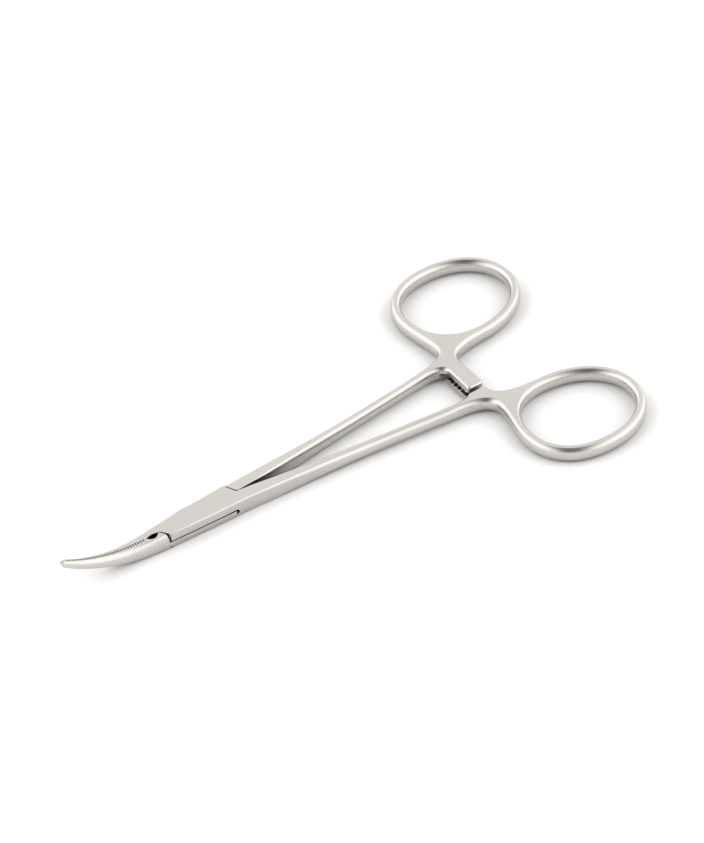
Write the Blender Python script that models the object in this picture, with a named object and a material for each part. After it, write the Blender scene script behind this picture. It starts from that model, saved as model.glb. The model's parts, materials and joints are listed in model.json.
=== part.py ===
"""Curved mosquito forceps: a 125 mm box-lock clamp in stainless steel, closed and lying flat.

The tips point to -X and curve up to +Z, the finger rings are at +X, and the pivot axis is the
Z axis. The underside of the lock is at z = 0.
"""

import math
from collections import namedtuple

import bmesh
import bpy
from mathutils import Vector, geometry

MM = 0.001

# Lock
LOCK_THICKNESS = 3.9 * MM
LOCK_HALF_WIDTH = 2.65 * MM
LOCK_FLARE = 0.035
LOCK_SIDE_X = 3.0 * MM
PLATE_FRONT = (9.45 * MM, 7.85 * MM)
PLATE_REAR = (9.2 * MM, 7.85 * MM)
FRONT_GAP = 0.22 * MM
REAR_GAP = 0.22 * MM
SLOT_FLOOR = 0.61 * MM
SLOT_HEIGHT = 1.3 * MM
SLOT_END_LEDGE = 0.02 * MM
SLOT_INNER_END = 9.0 * MM
SLOT_OUTER_END = 8.0 * MM
TONGUE_END = (8.85 * MM, 7.25 * MM)
TONGUE_TOP_GAP = 0.12 * MM
TONGUE_FLOOR_GAP = 0.05 * MM
PIN_RADIUS = 1.0 * MM
PIN_CLEARANCE = 0.03 * MM

# Jaws, measured along their own centre line
JAW_TIP = -33.0 * MM
JAW_TIP_HALF_WIDTH = 0.72 * MM
JAW_TIP_THICKNESS = 1.4 * MM
JAW_TIP_ROUND = 1.0 * MM
JAW_TIP_NOTCH = 0.2 * MM
NOSE_ROUND = 1.3 * MM
NOSE_THICKNESS = 0.4
JAW_TAPER_START = -7.0 * MM
JAW_BEND_START = -12.0 * MM
JAW_BEND_RADIUS = 34.0 * MM
JAW_GAP = 0.03 * MM
PARTING_SHIFT = 0.3 * MM
EYE_FRONT = -12.5 * MM
EYE_LEAD = 0.1 * MM
EYE_FULLNESS = 0.9
TOOTH_PITCH = 0.62 * MM
TOOTH_WIDTH = 0.34 * MM
TOOTH_DEPTH = 0.3 * MM
TOOTH_COUNT = 31
TOOTH_START = -13.2 * MM
GROOVE = ((-0.5, 0.0), (-0.3, 0.8), (0.0, 1.0), (0.3, 0.8), (0.5, 0.0))

# Shanks
SHANK_START = 10.0 * MM
SHANK_START_Y = 1.45 * MM
SHANK_SLOPE = 0.078
SHANK_BOW = 0.34
SHANK_ROOT_HALF_WIDTH = 1.4 * MM
SHANK_HALF_WIDTH = 1.1 * MM
SHANK_THICKNESS = 3.3 * MM
SHANK_TAPER_END = 42.0 * MM
SHANK_NARROW_START = 4.0 * MM
SHANK_NARROW_END = 34.0 * MM
PARTING_END = 10.4 * MM
PARTING_FADE = 8.0 * MM

# Finger rings, at the centre line of their oval section. Their near ends are placed from the
# front of the arms and from the centre line of the shank there
RING_SETBACK = 1.84 * MM
RING_RISE = 3.72 * MM
RING_LONG = 13.1 * MM
RING_SHORT = 11.1 * MM
RING_TILT = math.radians(5.2)
RING_SQUARENESS = 2.15
RING_EGG = -0.06
RING_HALF_WIDTH = 1.22 * MM
RING_THICKNESS = 3.55 * MM
RING_THICKENING = 12.0 * MM
RING_START = math.radians(265)
RING_TURN = math.radians(280)

# Ratchet arms, and the curves from them to shank and ring as (along, across) pulls
ARM_FRONT = 64.0 * MM
ARM_WIDTH = 3.9 * MM
ARM_STAGGER = 0.5 * MM
ARM_END = 3.6 * MM
ARM_CORNER = 0.65 * MM
ARM_GAP = 0.08 * MM
STEP_FALL = 1.75 * MM
CROTCH_LEAD = 4.3 * MM
CROTCH_PULL = (2.4 * MM, 0.25 * MM)
CROTCH_FALL = 1.7 * MM
WEB_FALL = 0.3 * MM
WEB_PULL = (0.4 * MM, 3.6 * MM)
RING_PULL = (-6.8 * MM, -0.2 * MM)
NOTCH_LEAD = 8.0 * MM
NOTCH_RING_PULL = 0.4
NOTCH_RISE_PULL = (0.0, 2.5 * MM)
NOTCH_FALL_PULL = (0.0, -2.8 * MM)
NOTCH_SHANK_PULL = (5.2 * MM, 0.3 * MM)
RATCHET_PITCH = 1.2 * MM
RATCHET_HEIGHT = 0.4 * MM
RATCHET_TEETH = 4
RATCHET_LEAD = 0.3 * MM
RATCHET_FLANK = 0.12 * MM
RATCHET_CREST = 0.15 * MM

# Edge rounding: reach in from the side, drop from the face and fullness, above and then below
SHARP = (0.0, 0.0, 2.0, 0.0, 0.0, 2.0)
LOCK_EDGE = (0.3 * MM, 0.36 * MM, 1.5, 0.2 * MM, 0.2 * MM, 1.8)
JAW_ROOT_EDGE = (0.75 * MM, 1.9 * MM, 1.5, 0.25 * MM, 0.3 * MM, 1.8)
SHANK_EDGE = (1.04 * MM, 1.65 * MM, 2.0, 1.04 * MM, 1.65 * MM, 2.0)
WEB_EDGE = (1.15 * MM, 1.75 * MM, 1.9, 1.15 * MM, 1.75 * MM, 1.9)
RING_EDGE = (1.16 * MM, 1.75 * MM, 2.05, 1.16 * MM, 1.75 * MM, 2.05)
ARM_EDGE = (0.55 * MM, 0.7 * MM, 1.8, 0.3 * MM, 0.3 * MM, 1.8)
TIP_EDGE = (0.05 * MM, 0.1 * MM, 2.0, 0.05 * MM, 0.1 * MM, 2.0)
TIP_REACH = 0.76
TIP_DROP = 0.62
TIP_FULLNESS = 1.9
TIP_LOW_REACH = 0.4
TIP_LOW_DROP = 0.25
TIP_DOME_END = JAW_TIP + 6.0 * MM
JAW_SLANT_START = -10.0 * MM
CROTCH_SOFTNESS = 0.5
ARM_ROOT_SOFTNESS = 0.85
WEB_SOFTNESS = 0.4
EDGE_LEVELS = 4
MITRE_LIMIT = 0.5

CENTRE_Z = LOCK_THICKNESS / 2
MARGIN = 1.0 * MM

# What differs between the halves: the lock's ends, how far the parting line at the lock lies
# inside the half, the relief of the eye, the front of the arm, and the notch between shank and
# ring, as its depth behind the arm's front, its rise from the centre line of the shank, and how
# far the curve into it is held out
Half = namedtuple("Half", "front rear parting eye arm_front notch_x notch_rise notch_hold")
FEMALE = Half(
    front=PLATE_FRONT,
    rear=PLATE_REAR,
    parting=-PARTING_SHIFT,
    eye=0.35 * MM,
    arm_front=ARM_FRONT - ARM_STAGGER,
    notch_x=2.7 * MM,
    notch_rise=4.55 * MM,
    notch_hold=0.0,
)
MALE = Half(
    front=TONGUE_END,
    rear=TONGUE_END,
    parting=PARTING_SHIFT,
    eye=0.9 * MM,
    arm_front=ARM_FRONT,
    notch_x=1.9 * MM,
    notch_rise=4.55 * MM,
    notch_hold=0.4 * MM,
)


def ease(value, start, end):
    """0 before start, 1 after end, with a smooth step between them."""
    t = min(max((value - start) / (end - start), 0.0), 1.0)
    return t * t * (3 - 2 * t)


def mix(a, b, t):
    return a + (b - a) * t


def mix_edges(a, b, t):
    return tuple(mix(p, q, t) for p, q in zip(a, b))


def lock_half_width(x):
    return LOCK_HALF_WIDTH + LOCK_FLARE * x


def half_height(x):
    """Half the thickness of the forging, before the jaws are bent."""
    if x < JAW_TAPER_START:
        share = (x - JAW_TIP) / (JAW_TAPER_START - JAW_TIP)
        left = min(max(1 - (x - JAW_TIP) / NOSE_ROUND, 0.0), 1.0)
        nose = mix(NOSE_THICKNESS, 1, math.sqrt(1 - left * left))
        return nose * mix(JAW_TIP_THICKNESS, LOCK_THICKNESS, share) / 2
    thickness = mix(LOCK_THICKNESS, SHANK_THICKNESS, ease(x, SHANK_START, SHANK_TAPER_END))
    return mix(thickness, RING_THICKNESS, ease(x, ARM_FRONT - RING_THICKENING, ARM_FRONT)) / 2


def jaw_half_width(x):
    root = -PLATE_FRONT[1]
    share = (x - JAW_TIP) / (root - JAW_TIP)
    return mix(JAW_TIP_HALF_WIDTH, lock_half_width(root), share)


def seam_x(ends, y):
    """Where a slanted end of the lock lies, going from its inner end to its outer end."""
    return ends[0] - (ends[0] - ends[1]) * y / LOCK_HALF_WIDTH


def jaw_edge(x):
    """A dome at the tip that turns into a slanted side above a crease at mid height."""
    wide, tall = jaw_half_width(x), 2 * half_height(x)
    dome = (
        wide * TIP_REACH,
        tall * TIP_DROP,
        TIP_FULLNESS,
        wide * TIP_LOW_REACH,
        tall * TIP_LOW_DROP,
        TIP_FULLNESS,
    )
    return mix_edges(dome, JAW_ROOT_EDGE, ease(x, TIP_DOME_END, JAW_SLANT_START))


def shank_centre(x):
    run = (x - SHANK_START) / MM
    return SHANK_START_Y + (SHANK_SLOPE * run + SHANK_BOW * run * run / 1000) * MM


def shank_half_width(x):
    share = ease(x, SHANK_NARROW_START, SHANK_NARROW_END)
    return mix(SHANK_ROOT_HALF_WIDTH, SHANK_HALF_WIDTH, share)


def shank_side(x, side):
    return Vector((x, shank_centre(x) + side * shank_half_width(x)))


def step_y():
    """Where each arm steps down to half its thickness."""
    return shank_centre(ARM_FRONT) - STEP_FALL


def shank_edge(x):
    return mix_edges(LOCK_EDGE, SHANK_EDGE, ease(x, SHANK_START, SHANK_TAPER_END))


def ring_point(angle, offset):
    """A point of the ring, offset outwards from the centre line of its section."""
    c, s = math.cos(angle), math.sin(angle)
    power = 2 / RING_SQUARENESS
    along = RING_LONG * math.copysign(abs(c) ** power, c)
    across = RING_SHORT * math.copysign(abs(s) ** power, s) * (1 + RING_EGG * c)
    ct, st = math.cos(RING_TILT), math.sin(RING_TILT)
    near_end = Vector((ARM_FRONT + RING_SETBACK, shank_centre(ARM_FRONT) + RING_RISE))
    centre = near_end + Vector((RING_LONG, RING_SHORT))
    point = centre + Vector((along * ct - across * st, along * st + across * ct))
    if offset == 0:
        return point
    step = 0.01
    tangent = ring_point(angle + step, 0) - ring_point(angle - step, 0)
    normal = Vector((tangent.y, -tangent.x)).normalized()
    return point + offset * normal


def bezier(p0, p1, p2, p3, count):
    """Points of a cubic curve, leaving out both ends."""
    points = []
    for i in range(1, count):
        t = i / count
        points.append(
            (1 - t) ** 3 * p0 + 3 * t * (1 - t) ** 2 * p1 + 3 * t * t * (1 - t) * p2 + t**3 * p3
        )
    return points


def corner_arc(corner, start, end, count):
    """The rounded corner of an arm between two directions, as count + 1 points."""
    centre = Vector(corner) - ARM_CORNER * (Vector(start) + Vector(end))
    points = []
    for i in range(count + 1):
        a = math.pi / 2 * i / count
        points.append(centre + ARM_CORNER * (math.cos(a) * Vector(start) + math.sin(a) * Vector(end)))
    return points


def blended(points, first, last=None):
    """Outline entries whose edge rounding changes evenly from first to last."""
    last = last or first
    points = [Vector(point) for point in points]
    share = 1 / max(len(points) - 1, 1)
    return [(point, mix_edges(first, last, i * share)) for i, point in enumerate(points)]


def jaw_side(detail):
    """The outer side of the jaw, from its rounded tip to the lock."""
    entries = []
    tip_steps = 3 * detail
    for i in range(tip_steps + 1):
        a = math.pi / 2 * i / tip_steps
        x = JAW_TIP + JAW_TIP_ROUND * (1 - math.cos(a))
        y = mix(JAW_TIP_NOTCH, jaw_half_width(x), math.sin(a))
        entries.append((Vector((x, -y)), mix_edges(TIP_EDGE, jaw_edge(x), math.sin(a))))
    jaw_steps = 10 * detail
    start, end = JAW_TIP + JAW_TIP_ROUND, -PLATE_FRONT[1]
    for i in range(1, jaw_steps + 1):
        x = mix(start, end, i / jaw_steps)
        entries.append((Vector((x, -jaw_half_width(x))), jaw_edge(x)))
    return entries


def shank_inner_side(end, detail):
    steps = 13 * detail
    entries = []
    for i in range(steps + 1):
        x = mix(PARTING_END, end, i / steps)
        fade = ease(x, PARTING_END, PARTING_END + PARTING_FADE)
        rounding = mix_edges(SHARP, shank_edge(x), fade)
        entries.append((shank_side(x, -1), rounding))
    return entries


def ratchet_arm(half, crotch_start, detail):
    """The crotch between shank and arm, then the arm round its end."""
    front, rear = half.arm_front, half.arm_front + ARM_WIDTH
    root = Vector((front, step_y() - CROTCH_FALL))
    curve = bezier(
        crotch_start,
        crotch_start + Vector(CROTCH_PULL),
        Vector((front, step_y())),
        root,
        5 * detail,
    )
    soft = mix_edges(SHANK_EDGE, ARM_EDGE, CROTCH_SOFTNESS)
    corner_steps = 2 * detail
    return (
        blended(curve, SHANK_EDGE, soft)
        + blended([root], mix_edges(SHANK_EDGE, ARM_EDGE, ARM_ROOT_SOFTNESS))
        + blended([(front, 0)], ARM_EDGE)
        + blended(corner_arc((front, -ARM_END), (-1, 0), (0, -1), corner_steps), ARM_EDGE)
        + blended(corner_arc((rear, -ARM_END), (0, -1), (1, 0), corner_steps), ARM_EDGE)
        + blended([(rear, 0)], ARM_EDGE)
    )


def web_and_ring(half, detail):
    """The web behind the arm, the outer side of the ring, and the notch in front of it."""
    root = Vector((half.arm_front + ARM_WIDTH, step_y() - WEB_FALL))
    start = ring_point(RING_START, RING_HALF_WIDTH)
    rear = bezier(root, root + Vector(WEB_PULL), start + Vector(RING_PULL), start, 9 * detail)
    steps = 34 * detail
    ring = [
        ring_point(RING_START + RING_TURN * i / steps, RING_HALF_WIDTH) for i in range(steps + 1)
    ]
    notch = Vector((half.arm_front + half.notch_x, shank_centre(ARM_FRONT) + half.notch_rise))
    front = bezier(
        ring[-1],
        mix(ring[-1], notch, NOTCH_RING_PULL),
        notch + Vector(NOTCH_RISE_PULL),
        notch,
        5 * detail,
    )
    shank = shank_side(notch.x - NOTCH_LEAD, 1)
    pull = Vector(NOTCH_SHANK_PULL) + Vector((0, half.notch_hold))
    fillet = bezier(notch, notch + Vector(NOTCH_FALL_PULL), shank + pull, shank, 9 * detail)
    turned = mix_edges(WEB_EDGE, SHANK_EDGE, WEB_SOFTNESS)
    return (
        blended([root] + rear, mix_edges(ARM_EDGE, WEB_EDGE, WEB_SOFTNESS), RING_EDGE)
        + blended(ring, RING_EDGE)
        + blended(front + [notch], RING_EDGE, turned)
        + blended(fillet, turned, SHANK_EDGE)
    )


def shank_outer_side(start, detail):
    steps = 12 * detail
    entries = []
    for i in range(steps + 1):
        x = mix(start, SHANK_START, i / steps)
        entries.append((shank_side(x, 1), shank_edge(x)))
    return entries


def gripping_y(half, x):
    """The level of the gripping face, which reaches the centre line at the tip."""
    share = min((x - JAW_TIP) / (EYE_FRONT - JAW_TIP), 1.0)
    return -JAW_GAP / 2 - half.parting * share


def gripping_face(half, detail):
    """The relief that makes half of the eye, then the flat face of the jaw."""
    entries = []
    eye_steps = 5 * detail
    start = -PLATE_FRONT[0] - EYE_LEAD
    for i in range(eye_steps + 1):
        t = i / eye_steps
        x = mix(start, EYE_FRONT, t)
        relief = half.eye * math.sin(math.pi * t) ** EYE_FULLNESS
        entries.append((Vector((x, gripping_y(half, x) - relief)), SHARP))
    grip_steps = 8 * detail
    for i in range(1, grip_steps + 1):
        x = mix(EYE_FRONT, JAW_TIP + 1.2 * JAW_TIP_NOTCH, i / grip_steps)
        entries.append((Vector((x, gripping_y(half, x))), SHARP))
    return entries


def half_outline(half, detail):
    """The plan of one half, anticlockwise, with its jaw at -Y and its shank at +Y.

    Each entry is a point and the edge rounding there.
    """
    inner_end = half.arm_front - CROTCH_LEAD
    outer_start = half.arm_front + half.notch_x - NOTCH_LEAD
    near_side = [(x, -lock_half_width(x)) for x in (-LOCK_SIDE_X, LOCK_SIDE_X)]
    far_side = [(x, lock_half_width(x)) for x in (LOCK_SIDE_X, -LOCK_SIDE_X)]
    front_y = gripping_y(half, -PLATE_FRONT[0])
    rear_wide, front_wide = lock_half_width(half.rear[1]), lock_half_width(-half.front[1])
    return (
        jaw_side(detail)
        + blended(near_side, LOCK_EDGE)
        + blended([(half.rear[1], -rear_wide), (half.rear[0], JAW_GAP / 2)], SHARP)
        + shank_inner_side(inner_end, detail)
        + ratchet_arm(half, shank_side(inner_end, -1), detail)
        + web_and_ring(half, detail)
        + shank_outer_side(outer_start, detail)
        + blended(far_side, LOCK_EDGE)
        + blended([(-half.front[1], front_wide), (-seam_x(half.front, front_y), front_y)], SHARP)
        + gripping_face(half, detail)
    )


def ring_hole(detail):
    """The hole of the ring, clockwise."""
    steps = 36 * detail
    return [
        (ring_point(-2 * math.pi * i / steps, -RING_HALF_WIDTH), RING_EDGE) for i in range(steps)
    ]


def inward_steps(outline):
    """For each point, the vector that moves it in by one unit from both of its edges."""
    steps = []
    count = len(outline)
    for i in range(count):
        before = (outline[i][0] - outline[i - 1][0]).normalized()
        after = (outline[(i + 1) % count][0] - outline[i][0]).normalized()
        n0, n1 = Vector((-before.y, before.x)), Vector((-after.y, after.x))
        middle = (n0 + n1).normalized()
        steps.append(middle / max(middle.dot(n0), MITRE_LIMIT))
    return steps


def bend(point):
    """Rolls the jaws up on an arc."""
    if point.x >= JAW_BEND_START:
        return point
    angle = (JAW_BEND_START - point.x) / JAW_BEND_RADIUS
    radius = JAW_BEND_RADIUS - (point.z - CENTRE_Z)
    return Vector((
        JAW_BEND_START - radius * math.sin(angle),
        point.y,
        CENTRE_Z + JAW_BEND_RADIUS - radius * math.cos(angle),
    ))


def edge_column(point, step, edge, levels):
    """The (plan point, height) pairs up the side at one outline point, from face to face."""
    reach_up, drop_up, full_up, reach_low, drop_low, full_low = edge
    half = half_height(point.x)
    share = 2 * half / max(drop_up + drop_low, 2 * half)
    drop_up, drop_low = drop_up * share, drop_low * share
    low, high = [], []
    for k in range(levels + 1):
        a = math.pi / 2 * k / levels
        for found, sign, reach, drop, full in (
            (low, -1, reach_low, drop_low, full_low),
            (high, 1, reach_up, drop_up, full_up),
        ):
            inset = reach * (1 - max(math.cos(a), 0.0) ** (2 / full))
            height = half - drop + drop * math.sin(a) ** (2 / full)
            found.append((point + inset * step, sign * height))
    return low[::-1] + high


def fill_face(bm, rims, plans, downwards):
    """Triangles across the flat that the rims bound, leaving out the holes."""
    verts = [vert for rim in rims for vert in rim]
    flat = [place for plan in plans for place in plan]
    edges = []
    start = 0
    for plan in plans:
        count = len(plan)
        edges += [(start + i, start + (i + 1) % count) for i in range(count)]
        start += count
    points, _, triangles, origins, _, _ = geometry.delaunay_2d_cdt(flat, edges, [], 1, 1e-9)
    for triangle in triangles:
        centre = sum((points[i] for i in triangle), Vector((0, 0))) / 3
        if any(inside(centre, hole) for hole in plans[1:]):
            continue
        corners = [verts[origins[i][0]] for i in triangle]
        bm.faces.new(corners[::-1] if downwards else corners)


def forged_mesh(name, loops, levels, side):
    """A closed mesh of the plan loops, with rounded edges that vary along them.

    side is 1 to keep the plan, or -1 to mirror it across the XZ plane.
    """
    bm = bmesh.new()
    rims = []
    for loop in loops:
        steps = inward_steps(loop)
        columns = []
        for (point, edge), step in zip(loop, steps):
            columns.append(edge_column(point, step, edge, levels))
        stack = []
        for k in range(2 * levels + 2):
            ring = []
            for column in columns:
                place, height = column[k]
                bent = bend(Vector((place.x, place.y, CENTRE_Z + height)))
                ring.append(bm.verts.new((bent.x, side * bent.y, bent.z)))
            stack.append(ring)
        count = len(loop)
        for lower, upper in zip(stack, stack[1:]):
            for i in range(count):
                j = (i + 1) % count
                bm.faces.new((lower[i], lower[j], upper[j], upper[i]))
        rims.append((stack[0], stack[-1], columns))
    fill_face(bm, [low for low, _, _ in rims], [[c[0][0] for c in cs] for _, _, cs in rims], True)
    fill_face(bm, [high for _, high, _ in rims], [[c[-1][0] for c in cs] for _, _, cs in rims], False)
    if side < 0:
        bmesh.ops.reverse_faces(bm, faces=bm.faces)
    bmesh.ops.remove_doubles(bm, verts=bm.verts, dist=1e-7)
    bmesh.ops.dissolve_degenerate(bm, edges=bm.edges, dist=1e-7)
    bmesh.ops.recalc_face_normals(bm, faces=bm.faces)
    mesh = bpy.data.meshes.new(name)
    bm.to_mesh(mesh)
    bm.free()
    return mesh


def inside(point, polygon):
    """Whether a point lies within a closed plan loop."""
    found = False
    for i, b in enumerate(polygon):
        a = polygon[i - 1]
        if (a.y > point.y) != (b.y > point.y):
            x = a.x + (point.y - a.y) * (b.x - a.x) / (b.y - a.y)
            if point.x < x:
                found = not found
    return found


def prism(name, polygon, low, high, axis, collection):
    """A closed prism. axis "Z" takes (x, y) points, and axis "X" takes (y, z) points."""
    bm = bmesh.new()
    ends = []
    for level in (low, high):
        if axis == "Z":
            ends.append([bm.verts.new((x, y, level)) for x, y in polygon])
        else:
            ends.append([bm.verts.new((level, y, z)) for y, z in polygon])
    count = len(polygon)
    for i in range(count):
        j = (i + 1) % count
        bm.faces.new((ends[0][i], ends[0][j], ends[1][j], ends[1][i]))
    bm.faces.new(ends[0][::-1])
    bm.faces.new(ends[1])
    bmesh.ops.recalc_face_normals(bm, faces=bm.faces)
    mesh = bpy.data.meshes.new(name)
    bm.to_mesh(mesh)
    bm.free()
    return make_object(name, mesh, collection)


def cylinder(name, radius, start, end, collection, segments=48):
    """A cylinder between two points."""
    start, end = Vector(start), Vector(end)
    bm = bmesh.new()
    bmesh.ops.create_cone(
        bm, cap_ends=True, segments=segments, radius1=radius, radius2=radius, depth=(end - start).length
    )
    mesh = bpy.data.meshes.new(name)
    bm.to_mesh(mesh)
    bm.free()
    made = make_object(name, mesh, collection)
    made.rotation_euler = Vector((0, 0, 1)).rotation_difference(end - start).to_euler()
    made.location = (start + end) / 2
    return made


def make_object(name, mesh, collection):
    made = bpy.data.objects.new(name, mesh)
    collection.objects.link(made)
    if collection.hide_render:
        made.hide_render = True
        made.display_type = "WIRE"
    return made


def cut(target, cutter):
    modifier = target.modifiers.new(cutter.name, "BOOLEAN")
    modifier.operation = "DIFFERENCE"
    modifier.solver = "EXACT"
    modifier.object = cutter


def steel(name, shade):
    material = bpy.data.materials.new(name)
    material.use_nodes = True
    shader = material.node_tree.nodes["Principled BSDF"]
    shader.inputs["Base Color"].default_value = (shade, shade * 0.98, shade * 0.95, 1)
    shader.inputs["Metallic"].default_value = 1
    shader.inputs["Roughness"].default_value = 0.3
    return material


def tooth_comb(name, half, side, collection):
    """The cutter for the cross serrations: one bar for each groove, along the bend.

    GROOVE gives the section of a bar as shares of a groove's width and depth.
    """
    bm = bmesh.new()
    for i in range(TOOTH_COUNT):
        s = TOOTH_START - i * TOOTH_PITCH
        face = gripping_y(half, s)
        reach = half_height(s) + MARGIN
        section = [(along * TOOTH_WIDTH, face - deep * TOOTH_DEPTH) for along, deep in GROOVE]
        section += [(TOOTH_WIDTH / 2, face + MARGIN), (-TOOTH_WIDTH / 2, face + MARGIN)]
        ends = []
        for level in (-reach, reach):
            ring = []
            for along, y in section:
                bent = bend(Vector((s + along, y, CENTRE_Z + level)))
                ring.append(bm.verts.new((bent.x, side * bent.y, bent.z)))
            ends.append(ring)
        count = len(section)
        for k in range(count):
            m = (k + 1) % count
            bm.faces.new((ends[0][k], ends[0][m], ends[1][m], ends[1][k]))
        bm.faces.new(ends[0][::-1])
        bm.faces.new(ends[1])
    bmesh.ops.recalc_face_normals(bm, faces=bm.faces)
    mesh = bpy.data.meshes.new(name)
    bm.to_mesh(mesh)
    bm.free()
    return make_object(name, mesh, collection)


def lock_window(front, rear, level):
    """The plan between the slanted ends of the lock, open to both sides of its inner corners.

    level is where the front end has its inner corner.
    """
    far = LOCK_HALF_WIDTH + MARGIN
    reach = SHANK_START + 2 * MARGIN
    return [
        (seam_x(rear, far), far),
        (rear[0], 0.0),
        (reach, 0.0),
        (reach, -far),
        (-seam_x(front, far), -far),
        (-seam_x(front, -level), level),
        (-reach, level),
        (-reach, far),
    ]


def ratchet_profile(crest, step, tip):
    """The (y, z) outline that a cutter takes off an arm, from its step past its tip.

    The cutter lies below the male arm, whose tip is at -y, and above the female arm.
    """
    sign = 1 if step > tip else -1
    root = crest + sign * RATCHET_HEIGHT
    outer = crest - sign * LOCK_THICKNESS
    first = tip + sign * RATCHET_LEAD
    points = [(step, outer), (step, root)]
    for i in range(RATCHET_TEETH, 0, -1):
        base = first + sign * i * RATCHET_PITCH
        flank = base - sign * RATCHET_FLANK
        points += [(base, root), (flank, crest), (flank - sign * RATCHET_CREST, crest)]
    end = tip - sign * MARGIN
    return points + [(first, root), (end, root), (end, outer)]


def build_halves(parts, cutters, detail, levels):
    """Both halves with their cuts, and the pin."""
    slot_top = SLOT_FLOOR + SLOT_HEIGHT
    hole = ring_hole(detail)
    wide, narrow = half_outline(FEMALE, detail), half_outline(MALE, detail)
    female = make_object("female_half", forged_mesh("female_half", [wide, hole], levels, -1), parts)
    male = make_object("male_half", forged_mesh("male_half", [narrow, hole], levels, 1), parts)

    # The slot through the female half, with round ends
    slot_radius = SLOT_HEIGHT / 2
    slot_end = (SLOT_INNER_END, SLOT_OUTER_END - slot_radius)
    window = [(x, -y) for x, y in lock_window(slot_end, slot_end, PARTING_SHIFT)]
    cut(female, prism("slot", window, SLOT_FLOOR, slot_top, "Z", cutters))
    far = LOCK_HALF_WIDTH + MARGIN
    middle = SLOT_FLOOR + slot_radius
    for name, turn, inner in (("slot_end_rear", 1, 0.0), ("slot_end_front", -1, -PARTING_SHIFT)):
        inner -= MARGIN / 2
        start = (turn * seam_x(slot_end, far), -turn * far, middle)
        end = (turn * seam_x(slot_end, inner), -turn * inner, middle)
        cut(female, cylinder(name, slot_radius - SLOT_END_LEDGE, start, end, cutters, 24))

    # The recesses above and below the tongue of the male half
    front = [end + FRONT_GAP for end in PLATE_FRONT]
    rear = [end + REAR_GAP for end in PLATE_REAR]
    window = lock_window(front, rear, -PARTING_SHIFT)
    top = LOCK_THICKNESS + MARGIN
    cut(male, prism("recess_top", window, slot_top - TONGUE_TOP_GAP, top, "Z", cutters))
    cut(male, prism("recess_bottom", window, -MARGIN, SLOT_FLOOR + TONGUE_FLOOR_GAP, "Z", cutters))

    # The pin and its bores
    bore = cylinder("pin_bore", PIN_RADIUS + PIN_CLEARANCE, (0, 0, -MARGIN), (0, 0, top), cutters)
    cut(female, bore)
    cut(male, bore)
    pin = cylinder("pivot_pin", PIN_RADIUS, (0, 0, 0), (0, 0, LOCK_THICKNESS), parts)

    # The ratchet: the male arm keeps its upper half, and the female arm its lower half
    low, high = ARM_FRONT - ARM_STAGGER - MARGIN, ARM_FRONT + ARM_WIDTH + MARGIN
    profile = ratchet_profile(CENTRE_Z + ARM_GAP / 2, step_y(), -ARM_END)
    cut(male, prism("ratchet_male", profile, low, high, "X", cutters))
    profile = ratchet_profile(CENTRE_Z - ARM_GAP / 2, -step_y(), ARM_END)
    cut(female, prism("ratchet_female", profile, low, high, "X", cutters))

    # The serrations
    cut(male, tooth_comb("serrations_male", MALE, 1, cutters))
    cut(female, tooth_comb("serrations_female", FEMALE, -1, cutters))
    return female, male, pin


def build():
    for old in list(bpy.data.objects):
        bpy.data.objects.remove(old, do_unlink=True)
    parts = bpy.data.collections.new("mosquito_forceps")
    cutters = bpy.data.collections.new("cutters")
    cutters.hide_render = True
    bpy.context.scene.collection.children.link(parts)
    bpy.context.scene.collection.children.link(cutters)
    female, male, pin = build_halves(parts, cutters, 1, EDGE_LEVELS)
    for made, name, shade in (
        (female, "satin_steel_female", 0.62),
        (male, "satin_steel_male", 0.6),
        (pin, "satin_steel_pin", 0.58),
    ):
        made.data.materials.append(steel(name, shade))
        for polygon in made.data.polygons:
            polygon.use_smooth = True
        made.data.set_sharp_from_angle(angle=math.radians(30))


build()
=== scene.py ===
"""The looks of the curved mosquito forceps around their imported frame, in satin steel on white.

Each half is rebuilt from the part's own formulas at a finer step, so that its rounded edges shade
smoothly, and stands in for its solid. The gaps round the lock plate are drawn wider than in the
solid and the grooves deeper, so that they show at the photo's size. The pin's clearance is drawn
narrower, because the photo shows none.
"""

import json
import math
from collections import namedtuple

import bmesh
import bpy
from mathutils import Matrix, Vector, geometry

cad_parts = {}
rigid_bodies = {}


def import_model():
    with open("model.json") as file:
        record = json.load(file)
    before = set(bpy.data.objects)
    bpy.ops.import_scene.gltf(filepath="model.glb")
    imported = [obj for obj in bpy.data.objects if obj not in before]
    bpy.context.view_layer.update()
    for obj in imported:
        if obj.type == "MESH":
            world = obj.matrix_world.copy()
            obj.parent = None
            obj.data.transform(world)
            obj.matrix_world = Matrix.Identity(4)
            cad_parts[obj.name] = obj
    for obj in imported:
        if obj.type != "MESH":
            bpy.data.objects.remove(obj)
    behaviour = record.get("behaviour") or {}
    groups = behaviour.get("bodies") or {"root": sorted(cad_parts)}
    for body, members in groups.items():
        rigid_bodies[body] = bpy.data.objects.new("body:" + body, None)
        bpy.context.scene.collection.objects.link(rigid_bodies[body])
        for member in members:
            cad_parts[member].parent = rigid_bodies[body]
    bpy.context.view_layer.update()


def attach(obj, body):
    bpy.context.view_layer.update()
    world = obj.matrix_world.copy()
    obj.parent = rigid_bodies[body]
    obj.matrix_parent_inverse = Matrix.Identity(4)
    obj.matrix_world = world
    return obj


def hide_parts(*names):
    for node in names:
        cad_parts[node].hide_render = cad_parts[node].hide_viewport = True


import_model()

MM = 0.001

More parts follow.
